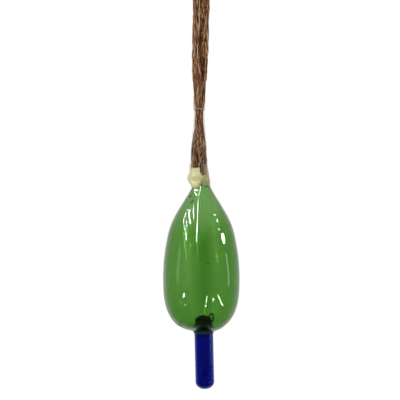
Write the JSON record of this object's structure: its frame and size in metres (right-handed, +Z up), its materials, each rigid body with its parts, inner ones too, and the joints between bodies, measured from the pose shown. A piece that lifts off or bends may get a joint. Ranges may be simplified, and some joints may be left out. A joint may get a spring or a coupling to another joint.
{
  "type": "glass thermometer",
  "caption": "Hanging pond thermometer: a sealed hollow green glass float on a looped fibre cord, with a closed blue glass probe tube below that holds a spirit thermometer.",
  "frame": {"origin": "the point where the hanging loop bears on its hook, at the middle of the loop's inner top", "axes": "+Z up, away from the float; +X across the loop, in the plane of its two legs; +Y along the hook's bar, away from the front. The front view looks along +Y."},
  "size_m": [0.0574, 0.0574, 0.3494],
  "materials": {
    "cord": "matte",
    "twine": "matte",
    "film": "gloss",
    "thread": "matte",
    "resin": "gloss",
    "green_glass": "gloss",
    "sealant": "gloss",
    "cobalt_glass": "gloss",
    "dark_rubber": "satin",
    "ring_wire": "satin",
    "shot": "satin",
    "pad": "matte",
    "clear_glass": "gloss",
    "spirit": "gloss",
    "scale_face": "matte",
    "scale_ink": "matte",
    "collar": "matte"
  },
  "bodies": {
    "hang_loop": {"hang_loop": "cord"},
    "loop_binding": {"twine_binding": "twine", "bound_cord": "cord"},
    "upper_cord": {"long_leg_upper": "cord", "short_leg_upper": "cord"},
    "float": {"long_leg_lower": "cord", "short_leg_lower": "cord", "clear_sleeve": "film", "tie_thread": "thread", "neck_resin": "resin", "float_bulb": "green_glass", "bottom_seal": "sealant", "probe_tube": "cobalt_glass", "stopper": "dark_rubber", "pull_ring": "ring_wire", "ballast_shot": "shot", "reservoir_pad": "pad", "thermometer_stem": "clear_glass", "spirit_reservoir": "spirit", "scale_strip": "scale_face", "scale_marks": "scale_ink", "lower_collar": "collar", "upper_collar": "collar"},
    "spirit": {"spirit_column": "spirit"}
  },
  "joints": [
    {"name": "swing_side", "type": "hinge", "parent": "hang_loop", "child": "loop_binding", "pos_m": [0, 0, -0.038], "axis": [0, 1, 0], "range_deg": [-45, 45], "deforming": ["hang_loop"]},
    {"name": "swing_front", "type": "hinge", "parent": "loop_binding", "child": "upper_cord", "pos_m": [0, 0, -0.04575], "axis": [1, 0, 0], "range_deg": [-45, 45], "deforming": ["long_leg_upper", "short_leg_upper"]},
    {"name": "spin", "type": "hinge", "parent": "upper_cord", "child": "float", "pos_m": [-0.00065, 0, -0.08295], "axis": [0, 0, 1], "range_deg": [-90, 90], "deforming": ["long_leg_lower", "short_leg_lower"]},
    {"name": "column_rise", "type": "slide", "parent": "float", "child": "spirit", "axis": [-0.0227, 0, 0.9997], "range_m": [-0.008, 0.008], "deforming": ["spirit_column"]}
  ]
}
